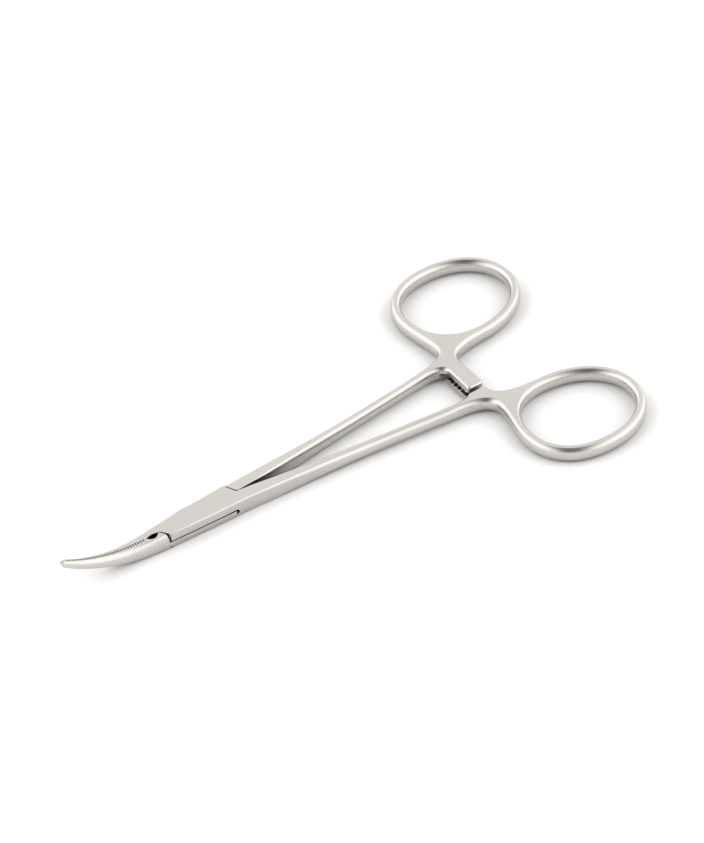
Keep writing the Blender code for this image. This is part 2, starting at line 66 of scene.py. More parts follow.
# Lock
LOCK_THICKNESS = 3.9 * MM
LOCK_HALF_WIDTH = 2.65 * MM
LOCK_FLARE = 0.035
LOCK_SIDE_X = 3.0 * MM
PLATE_FRONT = (9.45 * MM, 7.85 * MM)
PLATE_REAR = (9.2 * MM, 7.85 * MM)
FRONT_GAP = 0.3 * MM
REAR_GAP = 0.32 * MM
SLOT_FLOOR = 0.61 * MM
SLOT_HEIGHT = 1.3 * MM
SLOT_TOP = SLOT_FLOOR + SLOT_HEIGHT
SLOT_END_LEDGE = 0.02 * MM
SLOT_INNER_END = 9.0 * MM
SLOT_OUTER_END = 8.0 * MM
TONGUE_END = (8.85 * MM, 7.25 * MM)
TONGUE_TOP_GAP = 0.26 * MM
TONGUE_FLOOR_GAP = 0.05 * MM
PIN_RADIUS = 1.0 * MM
PIN_CLEARANCE = 0.008 * MM

# Jaws, measured along their own centre line
JAW_TIP = -33.0 * MM
JAW_TIP_HALF_WIDTH = 0.72 * MM
JAW_TIP_THICKNESS = 1.4 * MM
JAW_TIP_ROUND = 1.0 * MM
JAW_TIP_NOTCH = 0.2 * MM
JAW_TIP_SLANT = 1.2 * JAW_TIP_NOTCH
NOSE_ROUND = 1.3 * MM
NOSE_THICKNESS = 0.4
JAW_TAPER_START = -7.0 * MM
JAW_BEND_START = -12.0 * MM
JAW_BEND_RADIUS = 34.0 * MM
JAW_GAP = 0.03 * MM
PARTING_SHIFT = 0.3 * MM
EYE_FRONT = -12.5 * MM
EYE_LEAD = 0.1 * MM
EYE_FULLNESS = 0.9
TOOTH_PITCH = 0.62 * MM
TOOTH_WIDTH = 0.3 * MM
TOOTH_DEPTH = 0.4 * MM
TOOTH_COUNT = 31
TOOTH_START = -13.2 * MM
GROOVE = ((-0.5, 0.0), (-0.3, 0.8), (0.0, 1.0), (0.3, 0.8), (0.5, 0.0))

# Shanks
SHANK_START = 10.0 * MM
SHANK_START_Y = 1.45 * MM
SHANK_SLOPE = 0.078
SHANK_BOW = 0.34
SHANK_ROOT_HALF_WIDTH = 1.4 * MM
SHANK_HALF_WIDTH = 1.1 * MM
SHANK_THICKNESS = 3.3 * MM
SHANK_TAPER_END = 42.0 * MM
SHANK_NARROW_START = 4.0 * MM
SHANK_NARROW_END = 34.0 * MM
PARTING_END = 10.4 * MM
PARTING_FADE = 8.0 * MM

# Finger rings, at the centre line of their oval section. Their near ends are placed from the
# front of the arms and from the centre line of the shank there
RING_SETBACK = 1.84 * MM
RING_RISE = 3.72 * MM
RING_LONG = 13.1 * MM
RING_SHORT = 11.1 * MM
RING_TILT = math.radians(5.2)
RING_SQUARENESS = 2.15
RING_EGG = -0.06
RING_HALF_WIDTH = 1.22 * MM
RING_THICKNESS = 3.55 * MM
RING_THICKENING = 12.0 * MM
RING_START = math.radians(265)
RING_TURN = math.radians(280)

# Ratchet arms, and the curves from them to shank and ring as (along, across) pulls
ARM_FRONT = 64.0 * MM
ARM_WIDTH = 3.9 * MM
ARM_STAGGER = 0.5 * MM
ARM_END = 3.6 * MM
ARM_CORNER = 0.65 * MM
ARM_GAP = 0.08 * MM
STEP_FALL = 1.75 * MM
CROTCH_LEAD = 4.3 * MM
CROTCH_PULL = (2.4 * MM, 0.25 * MM)
CROTCH_FALL = 1.7 * MM
WEB_FALL = 0.3 * MM
WEB_PULL = (0.4 * MM, 3.6 * MM)
RING_PULL = (-6.8 * MM, -0.2 * MM)
NOTCH_LEAD = 8.0 * MM
NOTCH_RING_PULL = 0.4
NOTCH_RISE_PULL = (0.0, 2.5 * MM)
NOTCH_FALL_PULL = (0.0, -2.8 * MM)
NOTCH_SHANK_PULL = (5.2 * MM, 0.3 * MM)
RATCHET_PITCH = 1.2 * MM
RATCHET_HEIGHT = 0.4 * MM
RATCHET_TEETH = 4
RATCHET_LEAD = 0.3 * MM
RATCHET_FLANK = 0.12 * MM
RATCHET_CREST = 0.15 * MM

# Edge rounding: reach in from the side, drop from the face and fullness, above and then below
SHARP = (0.0, 0.0, 2.0, 0.0, 0.0, 2.0)
LOCK_EDGE = (0.3 * MM, 0.36 * MM, 1.5, 0.2 * MM, 0.2 * MM, 1.8)
JAW_ROOT_EDGE = (0.75 * MM, 1.9 * MM, 1.5, 0.25 * MM, 0.3 * MM, 1.8)
SHANK_EDGE = (1.04 * MM, 1.65 * MM, 2.0, 1.04 * MM, 1.65 * MM, 2.0)
WEB_EDGE = (1.15 * MM, 1.75 * MM, 1.9, 1.15 * MM, 1.75 * MM, 1.9)
RING_EDGE = (1.16 * MM, 1.75 * MM, 2.05, 1.16 * MM, 1.75 * MM, 2.05)
ARM_EDGE = (0.55 * MM, 0.7 * MM, 1.8, 0.3 * MM, 0.3 * MM, 1.8)
TIP_EDGE = (0.05 * MM, 0.1 * MM, 2.0, 0.05 * MM, 0.1 * MM, 2.0)
TIP_REACH = 0.76
TIP_DROP = 0.62
TIP_FULLNESS = 1.9
TIP_LOW_REACH = 0.4
TIP_LOW_DROP = 0.25
TIP_DOME_END = JAW_TIP + 6.0 * MM
JAW_SLANT_START = -10.0 * MM
CROTCH_SOFTNESS = 0.5
ARM_ROOT_SOFTNESS = 0.85
WEB_SOFTNESS = 0.4
MITRE_LIMIT = 0.5

CENTRE_Z = LOCK_THICKNESS / 2
MARGIN = 1.0 * MM

# What differs between the halves: the lock's ends, how far the parting line at the lock lies
# inside the half, the relief of the eye, the front of the arm, and the notch between shank and
# ring, as its depth behind the arm's front, its rise from the centre line of the shank, and how
# far the curve into it is held out
Half = namedtuple("Half", "front rear parting eye arm_front notch_x notch_rise notch_hold")
FEMALE = Half(
    front=PLATE_FRONT,
    rear=PLATE_REAR,
    parting=-PARTING_SHIFT,
    eye=0.35 * MM,
    arm_front=ARM_FRONT - ARM_STAGGER,
    notch_x=2.7 * MM,
    notch_rise=4.55 * MM,
    notch_hold=0.0,
)
MALE = Half(
    front=TONGUE_END,
    rear=TONGUE_END,
    parting=PARTING_SHIFT,
    eye=0.9 * MM,
    arm_front=ARM_FRONT,
    notch_x=1.9 * MM,
    notch_rise=4.55 * MM,
    notch_hold=0.4 * MM,
)

# Steps along each stretch of the outline, levels up a rounded edge, and sides of the round cuts
TIP_STEPS = 9
JAW_STEPS = 30
SHANK_INNER_STEPS = 39
CROTCH_STEPS = 15
ARM_CORNER_STEPS = 6
WEB_STEPS = 27
RING_STEPS = 102
NOTCH_STEPS = 15
FILLET_STEPS = 27
SHANK_OUTER_STEPS = 36
EYE_STEPS = 15
GRIP_STEPS = 24
RING_HOLE_STEPS = 108
EDGE_LEVELS = 8
PIN_SIDES = 48
SLOT_END_SIDES = 24
RING_ANGLE_STEP = 0.01

# How close points are merged: in a filled face, in a forging and after the cuts
FILL_MERGE = 1e-9
FORGING_MERGE = 1e-7
CUT_MERGE = 2e-7
# The triangulation's number for leaving out what lies outside the outline
INSIDE_OUTLINE = 1

# Corner normals: how near a point's height is to the face where it counts as on it, the step
# that its slope is taken over, and the cosine past which an edge stays sharp
FLAT_REACH = 0.002 * MM
SLOPE_STEP = 0.02 * MM
CREASE = math.cos(math.radians(33))

# The faces painted darker as shade: the eye's walls by how little they face up, and the sides of
# the grooves behind LAST_GROOVE by how much they face along the jaw and across it
EYE_WALL_UP = 0.5
GROOVE_ALONG = 0.45
GROOVE_ACROSS = 0.2
LAST_GROOVE = -31.0 * MM

# The steel. Its blue is lower than its red by BLUE_LOSS times as much as its green is
STEEL_SHADE = 0.55
STEEL_ROUGHNESS = 0.29
STEEL_WARMTH = 0.036
BLUE_LOSS = 2.2
# The dark steel painted on those faces as shade
RECESS_PAINTED_SHADE = 0.09
RECESS_ROUGHNESS = 0.55
# Painted shade where faces are close: how far a crevice reaches, the openness that counts as
# closed and as open, and its deepest shade
CREVICES = ((0.6 * MM, (0.15, 0.7), 0.1), (3.0 * MM, (0.1, 0.6), 0.35))
CREVICE_SAMPLES = 6
# Clouds and grain: NOISE_SPAN is the part of the noise's range that their levels are spread over
NOISE_SPAN = (0.3, 0.7)
CLOUD_SCALE = 90
CLOUD_DETAIL = 4
CLOUD_LEVELS = (0.97, 1.03)
GRAIN_SCALE = 5200
GRAIN_DETAIL = 2
GRAIN_GLOSS = 0.03
GRAIN_STRENGTH = 0.05
GRAIN_DEPTH = 0.01 * MM

# The floor, which goes FLOOR_REACH out from the origin on each side and lies FLOOR_DROP under it
FLOOR_SHADE = (0.765, 0.765, 0.763)
FLOOR_ROUGHNESS = 0.9
FLOOR_SPECULAR = 0.1
FLOOR_REACH = 3.0
FLOOR_DROP = 0.02 * MM

# The camera, fitted to the photo
CAMERA_AZIMUTH = math.radians(-32.21)
CAMERA_ELEVATION = math.radians(42.84)
CAMERA_ROLL = math.radians(-3.6)
CAMERA_DISTANCE = 835.4 * MM
CAMERA_TARGET = Vector((41.54, 6.26, 0)) * MM
CAMERA_LENS = 173.9
CAMERA_SENSOR = 36
CAMERA_CLIP = (0.01, 20)

# The tent: plain white in the middle, brighter at the sides, and with a dark patch above the
# camera. The plain middle fades out over SIDE_WIDTH, and the patch over DARK_WIDTH and DARK_HEIGHT
TENT_LIGHT = 1.24
TENT_TINT = (1, 0.992, 0.98)
SIDE_LIGHT = 1.95
SIDE_WIDTH = (0.36, 0.72)
DARK_LIGHT = 0.14
DARK_TINT = (1, 0.95, 0.9)
DARK_AZIMUTH = CAMERA_AZIMUTH
DARK_ELEVATION = math.radians(54)
DARK_WIDTH = (0.12, 0.58)
DARK_HEIGHT = (0.19, 0.4)

# The soft boxes: name, place, side and power. All aim at the same point
SOFTBOXES = (
    ("right", (0.55, -0.45, 0.75), 0.8, 2.9),
    ("left", (-0.63, 0.24, 0.71), 0.7, 2.6),
)
SOFTBOX_AIM = (0.03, 0, 0)


def ease(value, start, end):
    """0 before start, 1 after end, with a smooth step between them."""
    t = min(max((value - start) / (end - start), 0.0), 1.0)
    return t * t * (3 - 2 * t)


def mix(a, b, t):
    return a + (b - a) * t


def mix_edges(a, b, t):
    return tuple(mix(p, q, t) for p, q in zip(a, b))


def lock_half_width(x):
    return LOCK_HALF_WIDTH + LOCK_FLARE * x


def half_height(x):
    """Half the thickness of the forging, before the jaws are bent."""
    if x < JAW_TAPER_START:
        share = (x - JAW_TIP) / (JAW_TAPER_START - JAW_TIP)
        left = min(max(1 - (x - JAW_TIP) / NOSE_ROUND, 0.0), 1.0)
        nose = mix(NOSE_THICKNESS, 1, math.sqrt(1 - left * left))
        return nose * mix(JAW_TIP_THICKNESS, LOCK_THICKNESS, share) / 2
    thickness = mix(LOCK_THICKNESS, SHANK_THICKNESS, ease(x, SHANK_START, SHANK_TAPER_END))
    return mix(thickness, RING_THICKNESS, ease(x, ARM_FRONT - RING_THICKENING, ARM_FRONT)) / 2


def jaw_half_width(x):
    root = -PLATE_FRONT[1]
    share = (x - JAW_TIP) / (root - JAW_TIP)
    return mix(JAW_TIP_HALF_WIDTH, lock_half_width(root), share)


def seam_x(ends, y):
    """Where a slanted end of the lock lies, going from its inner end to its outer end."""
    return ends[0] - (ends[0] - ends[1]) * y / LOCK_HALF_WIDTH


def jaw_edge(x):
    """A dome at the tip that turns into a slanted side above a crease at mid height."""
    wide, tall = jaw_half_width(x), 2 * half_height(x)
    dome = (
        wide * TIP_REACH,
        tall * TIP_DROP,
        TIP_FULLNESS,
        wide * TIP_LOW_REACH,
        tall * TIP_LOW_DROP,
        TIP_FULLNESS,
    )
    return mix_edges(dome, JAW_ROOT_EDGE, ease(x, TIP_DOME_END, JAW_SLANT_START))


def shank_centre(x):
    """How far out the centre line of the shank lies. SHANK_BOW is in thousandths."""
    run = (x - SHANK_START) / MM
    return SHANK_START_Y + (SHANK_SLOPE * run + SHANK_BOW * run * run / 1000) * MM


def shank_half_width(x):
    share = ease(x, SHANK_NARROW_START, SHANK_NARROW_END)
    return mix(SHANK_ROOT_HALF_WIDTH, SHANK_HALF_WIDTH, share)


def shank_side(x, side):
    return Vector((x, shank_centre(x) + side * shank_half_width(x)))


def step_y():
    """Where each arm steps down to half its thickness."""
    return shank_centre(ARM_FRONT) - STEP_FALL


def shank_edge(x):
    return mix_edges(LOCK_EDGE, SHANK_EDGE, ease(x, SHANK_START, SHANK_TAPER_END))


def ring_point(angle, offset):
    """A point of the ring, offset outwards from the centre line of its section."""
    c, s = math.cos(angle), math.sin(angle)
    power = 2 / RING_SQUARENESS
    along = RING_LONG * math.copysign(abs(c) ** power, c)
    across = RING_SHORT * math.copysign(abs(s) ** power, s) * (1 + RING_EGG * c)
    ct, st = math.cos(RING_TILT), math.sin(RING_TILT)
    near_end = Vector((ARM_FRONT + RING_SETBACK, shank_centre(ARM_FRONT) + RING_RISE))
    centre = near_end + Vector((RING_LONG, RING_SHORT))
    point = centre + Vector((along * ct - across * st, along * st + across * ct))
    if offset == 0:
        return point
    tangent = ring_point(angle + RING_ANGLE_STEP, 0) - ring_point(angle - RING_ANGLE_STEP, 0)
    normal = Vector((tangent.y, -tangent.x)).normalized()
    return point + offset * normal


def bezier(p0, p1, p2, p3, count):
    """Points of a cubic curve, leaving out both ends."""
    points = []
    for i in range(1, count):
        t = i / count
        points.append(
            (1 - t) ** 3 * p0 + 3 * t * (1 - t) ** 2 * p1 + 3 * t * t * (1 - t) * p2 + t**3 * p3
        )
    return points


def corner_arc(corner, start, end):
    """The rounded corner of an arm between two directions."""
    centre = Vector(corner) - ARM_CORNER * (Vector(start) + Vector(end))
    points = []
    for i in range(ARM_CORNER_STEPS + 1):
        a = math.pi / 2 * i / ARM_CORNER_STEPS
        points.append(centre + ARM_CORNER * (math.cos(a) * Vector(start) + math.sin(a) * Vector(end)))
    return points


def blended(points, first, last=None):
    """Outline entries whose edge rounding changes evenly from first to last."""
    last = last or first
    points = [Vector(point) for point in points]
    share = 1 / max(len(points) - 1, 1)
    return [(point, mix_edges(first, last, i * share)) for i, point in enumerate(points)]


def jaw_side():
    """The outer side of the jaw, from its rounded tip to the lock."""
    entries = []
    for i in range(TIP_STEPS + 1):
        a = math.pi / 2 * i / TIP_STEPS
        x = JAW_TIP + JAW_TIP_ROUND * (1 - math.cos(a))
        y = mix(JAW_TIP_NOTCH, jaw_half_width(x), math.sin(a))
        entries.append((Vector((x, -y)), mix_edges(TIP_EDGE, jaw_edge(x), math.sin(a))))
    start, end = JAW_TIP + JAW_TIP_ROUND, -PLATE_FRONT[1]
    for i in range(1, JAW_STEPS + 1):
        x = mix(start, end, i / JAW_STEPS)
        entries.append((Vector((x, -jaw_half_width(x))), jaw_edge(x)))
    return entries


def shank_inner_side(end):
    entries = []
    for i in range(SHANK_INNER_STEPS + 1):
        x = mix(PARTING_END, end, i / SHANK_INNER_STEPS)
        fade = ease(x, PARTING_END, PARTING_END + PARTING_FADE)
        entries.append((shank_side(x, -1), mix_edges(SHARP, shank_edge(x), fade)))
    return entries


def ratchet_arm(half, crotch_start):
    """The crotch between shank and arm, then the arm round its end."""
    front, rear = half.arm_front, half.arm_front + ARM_WIDTH
    root = Vector((front, step_y() - CROTCH_FALL))
    pulled = crotch_start + Vector(CROTCH_PULL)
    curve = bezier(crotch_start, pulled, Vector((front, step_y())), root, CROTCH_STEPS)
    soft = mix_edges(SHANK_EDGE, ARM_EDGE, CROTCH_SOFTNESS)
    return (
        blended(curve, SHANK_EDGE, soft)
        + blended([root], mix_edges(SHANK_EDGE, ARM_EDGE, ARM_ROOT_SOFTNESS))
        + blended([(front, 0)], ARM_EDGE)
        + blended(corner_arc((front, -ARM_END), (-1, 0), (0, -1)), ARM_EDGE)
        + blended(corner_arc((rear, -ARM_END), (0, -1), (1, 0)), ARM_EDGE)
        + blended([(rear, 0)], ARM_EDGE)
    )


def web_and_ring(half):
    """The web behind the arm, the outer side of the ring, and the notch in front of it."""
    root = Vector((half.arm_front + ARM_WIDTH, step_y() - WEB_FALL))
    start = ring_point(RING_START, RING_HALF_WIDTH)
    rear = bezier(root, root + Vector(WEB_PULL), start + Vector(RING_PULL), start, WEB_STEPS)
    ring = []
    for i in range(RING_STEPS + 1):
        ring.append(ring_point(RING_START + RING_TURN * i / RING_STEPS, RING_HALF_WIDTH))
    notch = Vector((half.arm_front + half.notch_x, shank_centre(ARM_FRONT) + half.notch_rise))
    pulled = mix(ring[-1], notch, NOTCH_RING_PULL)
    front = bezier(ring[-1], pulled, notch + Vector(NOTCH_RISE_PULL), notch, NOTCH_STEPS)
    shank = shank_side(notch.x - NOTCH_LEAD, 1)
    pull = Vector(NOTCH_SHANK_PULL) + Vector((0, half.notch_hold))
    fillet = bezier(notch, notch + Vector(NOTCH_FALL_PULL), shank + pull, shank, FILLET_STEPS)
    turned = mix_edges(WEB_EDGE, SHANK_EDGE, WEB_SOFTNESS)
    return (
        blended([root] + rear, mix_edges(ARM_EDGE, WEB_EDGE, WEB_SOFTNESS), RING_EDGE)
        + blended(ring, RING_EDGE)
        + blended(front + [notch], RING_EDGE, turned)
        + blended(fillet, turned, SHANK_EDGE)
    )


def shank_outer_side(start):
    entries = []
    for i in range(SHANK_OUTER_STEPS + 1):
        x = mix(start, SHANK_START, i / SHANK_OUTER_STEPS)
        entries.append((shank_side(x, 1), shank_edge(x)))
    return entries


def gripping_y(half, x):
    """The level of the gripping face, which reaches the centre line at the tip."""
    share = min((x - JAW_TIP) / (EYE_FRONT - JAW_TIP), 1.0)
    return -JAW_GAP / 2 - half.parting * share


def gripping_face(half):
    """The relief that makes half of the eye, then the flat face of the jaw."""
    entries = []
    start = -PLATE_FRONT[0] - EYE_LEAD
    for i in range(EYE_STEPS + 1):
        t = i / EYE_STEPS
        x = mix(start, EYE_FRONT, t)
        relief = half.eye * math.sin(math.pi * t) ** EYE_FULLNESS
        entries.append((Vector((x, gripping_y(half, x) - relief)), SHARP))
    for i in range(1, GRIP_STEPS + 1):
        x = mix(EYE_FRONT, JAW_TIP + JAW_TIP_SLANT, i / GRIP_STEPS)
        entries.append((Vector((x, gripping_y(half, x))), SHARP))
    return entries


def half_outline(half):
    """The plan of one half, anticlockwise, with its jaw at -Y and its shank at +Y.

    Each entry is a point and the edge rounding there.
    """
    inner_end = half.arm_front - CROTCH_LEAD
    outer_start = half.arm_front + half.notch_x - NOTCH_LEAD
    near_side = [(x, -lock_half_width(x)) for x in (-LOCK_SIDE_X, LOCK_SIDE_X)]
    far_side = [(x, lock_half_width(x)) for x in (LOCK_SIDE_X, -LOCK_SIDE_X)]
    front_y = gripping_y(half, -PLATE_FRONT[0])
    rear_wide, front_wide = lock_half_width(half.rear[1]), lock_half_width(-half.front[1])
    return (
        jaw_side()
        + blended(near_side, LOCK_EDGE)
        + blended([(half.rear[1], -rear_wide), (half.rear[0], JAW_GAP / 2)], SHARP)
        + shank_inner_side(inner_end)
        + ratchet_arm(half, shank_side(inner_end, -1))
        + web_and_ring(half)
        + shank_outer_side(outer_start)
        + blended(far_side, LOCK_EDGE)
        + blended([(-half.front[1], front_wide), (-seam_x(half.front, front_y), front_y)], SHARP)
        + gripping_face(half)
    )


def ring_hole():
    """The hole of the ring, clockwise."""
    entries = []
    for i in range(RING_HOLE_STEPS):
        point = ring_point(-2 * math.pi * i / RING_HOLE_STEPS, -RING_HALF_WIDTH)
        entries.append((point, RING_EDGE))
    return entries


def inward_steps(outline):
    """For each point, the vector that moves it in by one unit from both of its edges."""
    steps = []
    count = len(outline)
    for i in range(count):
        before = (outline[i][0] - outline[i - 1][0]).normalized()
        after = (outline[(i + 1) % count][0] - outline[i][0]).normalized()
        n0, n1 = Vector((-before.y, before.x)), Vector((-after.y, after.x))
        middle = (n0 + n1).normalized()
        steps.append(middle / max(middle.dot(n0), MITRE_LIMIT))
    return steps


def bend(point):
    """Rolls the jaws up on an arc."""
    if point.x >= JAW_BEND_START:
        return point
    angle = (JAW_BEND_START - point.x) / JAW_BEND_RADIUS
    radius = JAW_BEND_RADIUS - (point.z - CENTRE_Z)
    return Vector((
        JAW_BEND_START - radius * math.sin(angle),
        point.y,
        CENTRE_Z + JAW_BEND_RADIUS - radius * math.cos(angle),
    ))


def edge_column(point, step, edge):
    """The (plan point, height) pairs up the side at one outline point, from face to face."""
    reach_up, drop_up, full_up, reach_low, drop_low, full_low = edge
    half = half_height(point.x)
    share = 2 * half / max(drop_up + drop_low, 2 * half)
    drop_up, drop_low = drop_up * share, drop_low * share
    low, high = [], []
    for k in range(EDGE_LEVELS + 1):
        a = math.pi / 2 * k / EDGE_LEVELS
        for found, sign, reach, drop, full in (
            (low, -1, reach_low, drop_low, full_low),
            (high, 1, reach_up, drop_up, full_up),
        ):
            inset = reach * (1 - max(math.cos(a), 0.0) ** (2 / full))
            height = half - drop + drop * math.sin(a) ** (2 / full)
            found.append((point + inset * step, sign * height))
    return low[::-1] + high


def mesh_from(bm, name):
    mesh = bpy.data.meshes.new(name)
    bm.to_mesh(mesh)
    bm.free()
    return mesh


def join_rings(bm, lower, upper):
    """Walls between two rings of points."""
    count = len(lower)
    for i in range(count):
        j = (i + 1) % count
        bm.faces.new((lower[i], lower[j], upper[j], upper[i]))


def close_bar(bm, ends):
    """The walls and caps of a bar between two rings of points."""
    join_rings(bm, ends[0], ends[1])
    bm.faces.new(ends[0][::-1])
    bm.faces.new(ends[1])


def fill_face(bm, rims, plans, downwards):
    """Triangles across the flat that the rims bound, leaving out the holes."""
    verts = [vert for rim in rims for vert in rim]
    flat = [place for plan in plans for place in plan]
    edges = []
    start = 0
    for plan in plans:
        count = len(plan)
        edges += [(start + i, start + (i + 1) % count) for i in range(count)]
        start += count
    found = geometry.delaunay_2d_cdt(flat, edges, [], INSIDE_OUTLINE, FILL_MERGE)
    points, _, triangles, origins, _, _ = found
    for triangle in triangles:
        centre = sum((points[i] for i in triangle), Vector((0, 0))) / 3
        if any(inside(centre, hole) for hole in plans[1:]):
            continue
        corners = [verts[origins[i][0]] for i in triangle]
        bm.faces.new(corners[::-1] if downwards else corners)


def forged_mesh(name, loops, side):
    """A closed mesh of the plan loops, with rounded edges that vary along them.

    side is 1 to keep the plan, or -1 to mirror it across the XZ plane.
    """
    bm = bmesh.new()
    low_rims, low_plans, high_rims, high_plans = [], [], [], []
    for loop in loops:
        columns = []
        for (point, edge), step in zip(loop, inward_steps(loop)):
            columns.append(edge_column(point, step, edge))
        stack = []
        for k in range(2 * EDGE_LEVELS + 2):
            ring = []
            for column in columns:
                place, height = column[k]
                bent = bend(Vector((place.x, place.y, CENTRE_Z + height)))
                ring.append(bm.verts.new((bent.x, side * bent.y, bent.z)))
            stack.append(ring)
        for lower, upper in zip(stack, stack[1:]):
            join_rings(bm, lower, upper)
        low_rims.append(stack[0])
        high_rims.append(stack[-1])
        low_plans.append([column[0][0] for column in columns])
        high_plans.append([column[-1][0] for column in columns])
    fill_face(bm, low_rims, low_plans, True)
    fill_face(bm, high_rims, high_plans, False)
    if side < 0:
        bmesh.ops.reverse_faces(bm, faces=bm.faces)
    bmesh.ops.remove_doubles(bm, verts=bm.verts, dist=FORGING_MERGE)
    bmesh.ops.dissolve_degenerate(bm, edges=bm.edges, dist=FORGING_MERGE)
    bmesh.ops.recalc_face_normals(bm, faces=bm.faces)
    return mesh_from(bm, name)


def inside(point, polygon):
    """Whether a point lies within a closed plan loop."""
    found = False
    for i, b in enumerate(polygon):
        a = polygon[i - 1]
        if (a.y > point.y) != (b.y > point.y):
            x = a.x + (point.y - a.y) * (b.x - a.x) / (b.y - a.y)
            if point.x < x:
                found = not found
    return found


def prism(name, polygon, low, high, axis, collection):
    """A closed prism. axis "Z" takes (x, y) points, and axis "X" takes (y, z) points."""
    bm = bmesh.new()
    ends = []
    for level in (low, high):
        if axis == "Z":
            ends.append([bm.verts.new((x, y, level)) for x, y in polygon])
        else:
            ends.append([bm.verts.new((level, y, z)) for y, z in polygon])
    close_bar(bm, ends)
    bmesh.ops.recalc_face_normals(bm, faces=bm.faces)
    return make_object(name, mesh_from(bm, name), collection)


def cylinder(name, radius, start, end, collection, sides=PIN_SIDES):
    """A cylinder between two points."""
    start, end = Vector(start), Vector(end)
    length = (end - start).length
    bm = bmesh.new()
    bmesh.ops.create_cone(
        bm, cap_ends=True, segments=sides, radius1=radius, radius2=radius, depth=length
    )
    made = make_object(name, mesh_from(bm, name), collection)
    made.rotation_euler = Vector((0, 0, 1)).rotation_difference(end - start).to_euler()
    made.location = (start + end) / 2
    return made


def make_object(name, mesh, collection):
    made = bpy.data.objects.new(name, mesh)
    collection.objects.link(made)
    return made


def cut(target, cutter):
    modifier = target.modifiers.new(cutter.name, "BOOLEAN")
    modifier.operation = "DIFFERENCE"
    modifier.solver = "EXACT"
    modifier.object = cutter


def tooth_comb(name, half, side, collection):
    """The cutter for the cross serrations: one bar for each groove, along the bend.

    GROOVE gives the section of a bar as shares of a groove's width and depth.
    """
    bm = bmesh.new()
    for i in range(TOOTH_COUNT):
        s = TOOTH_START - i * TOOTH_PITCH
        face = gripping_y(half, s)
        reach = half_height(s) + MARGIN
        section = [(along * TOOTH_WIDTH, face - deep * TOOTH_DEPTH) for along, deep in GROOVE]
        section += [(TOOTH_WIDTH / 2, face + MARGIN), (-TOOTH_WIDTH / 2, face + MARGIN)]
        ends = []
        for level in (-reach, reach):
            ring = []
            for along, y in section:
                bent = bend(Vector((s + along, y, CENTRE_Z + level)))
                ring.append(bm.verts.new((bent.x, side * bent.y, bent.z)))
            ends.append(ring)
        close_bar(bm, ends)
    bmesh.ops.recalc_face_normals(bm, faces=bm.faces)
    return make_object(name, mesh_from(bm, name), collection)


def lock_window(front, rear, level):
    """The plan between the slanted ends of the lock, open to both sides of its inner corners.

    level is where the front end has its inner corner.
    """
    far = LOCK_HALF_WIDTH + MARGIN
    reach = SHANK_START + 2 * MARGIN
    return [
        (seam_x(rear, far), far),
        (rear[0], 0.0),
        (reach, 0.0),
        (reach, -far),
        (-seam_x(front, far), -far),
        (-seam_x(front, -level), level),
        (-reach, level),
        (-reach, far),
    ]


def ratchet_profile(crest, step, tip):
    """The (y, z) outline that a cutter takes off an arm, from its step past its tip.

    The cutter lies below the male arm, whose tip is at -y, and above the female arm.
    """
    sign = 1 if step > tip else -1
    root = crest + sign * RATCHET_HEIGHT
    outer = crest - sign * LOCK_THICKNESS
    first = tip + sign * RATCHET_LEAD
    points = [(step, outer), (step, root)]
    for i in range(RATCHET_TEETH, 0, -1):
        base = first + sign * i * RATCHET_PITCH
        flank = base - sign * RATCHET_FLANK
        points += [(base, root), (flank, crest), (flank - sign * RATCHET_CREST, crest)]
    end = tip - sign * MARGIN
    return points + [(first, root), (end, root), (end, outer)]


def cut_slot(female, cutters):
    """The slot through the female half, with round ends."""
    radius = SLOT_HEIGHT / 2
    slot_end = (SLOT_INNER_END, SLOT_OUTER_END - radius)
    window = [(x, -y) for x, y in lock_window(slot_end, slot_end, PARTING_SHIFT)]
    cut(female, prism("slot", window, SLOT_FLOOR, SLOT_TOP, "Z", cutters))
    far = LOCK_HALF_WIDTH + MARGIN
    middle = SLOT_FLOOR + radius
    for name, turn, inner in (("slot_end_rear", 1, 0.0), ("slot_end_front", -1, -PARTING_SHIFT)):
        inner -= MARGIN / 2
        start = (turn * seam_x(slot_end, far), -turn * far, middle)
        end = (turn * seam_x(slot_end, inner), -turn * inner, middle)
        cut(female, cylinder(name, radius - SLOT_END_LEDGE, start, end, cutters, SLOT_END_SIDES))


def cut_tongue(male, cutters):
    """The recesses above and below the tongue of the male half."""
    front = [end + FRONT_GAP for end in PLATE_FRONT]
    rear = [end + REAR_GAP for end in PLATE_REAR]
    window = lock_window(front, rear, -PARTING_SHIFT)
    top = LOCK_THICKNESS + MARGIN
    cut(male, prism("recess_top", window, SLOT_TOP - TONGUE_TOP_GAP, top, "Z", cutters))
    cut(male, prism("recess_bottom", window, -MARGIN, SLOT_FLOOR + TONGUE_FLOOR_GAP, "Z", cutters))


def cut_bores(halves, cutters):
    """The bores for the pin."""
    top = (0, 0, LOCK_THICKNESS + MARGIN)
    bore = cylinder("pin_bore", PIN_RADIUS + PIN_CLEARANCE, (0, 0, -MARGIN), top, cutters)
    for half in halves:
        cut(half, bore)


def cut_ratchet(female, male, cutters):
    """The teeth. The male arm keeps its upper half, and the female arm its lower half."""
    low, high = ARM_FRONT - ARM_STAGGER - MARGIN, ARM_FRONT + ARM_WIDTH + MARGIN
    profile = ratchet_profile(CENTRE_Z + ARM_GAP / 2, step_y(), -ARM_END)
    cut(male, prism("ratchet_male", profile, low, high, "X", cutters))
    profile = ratchet_profile(CENTRE_Z - ARM_GAP / 2, -step_y(), ARM_END)
    cut(female, prism("ratchet_female", profile, low, high, "X", cutters))


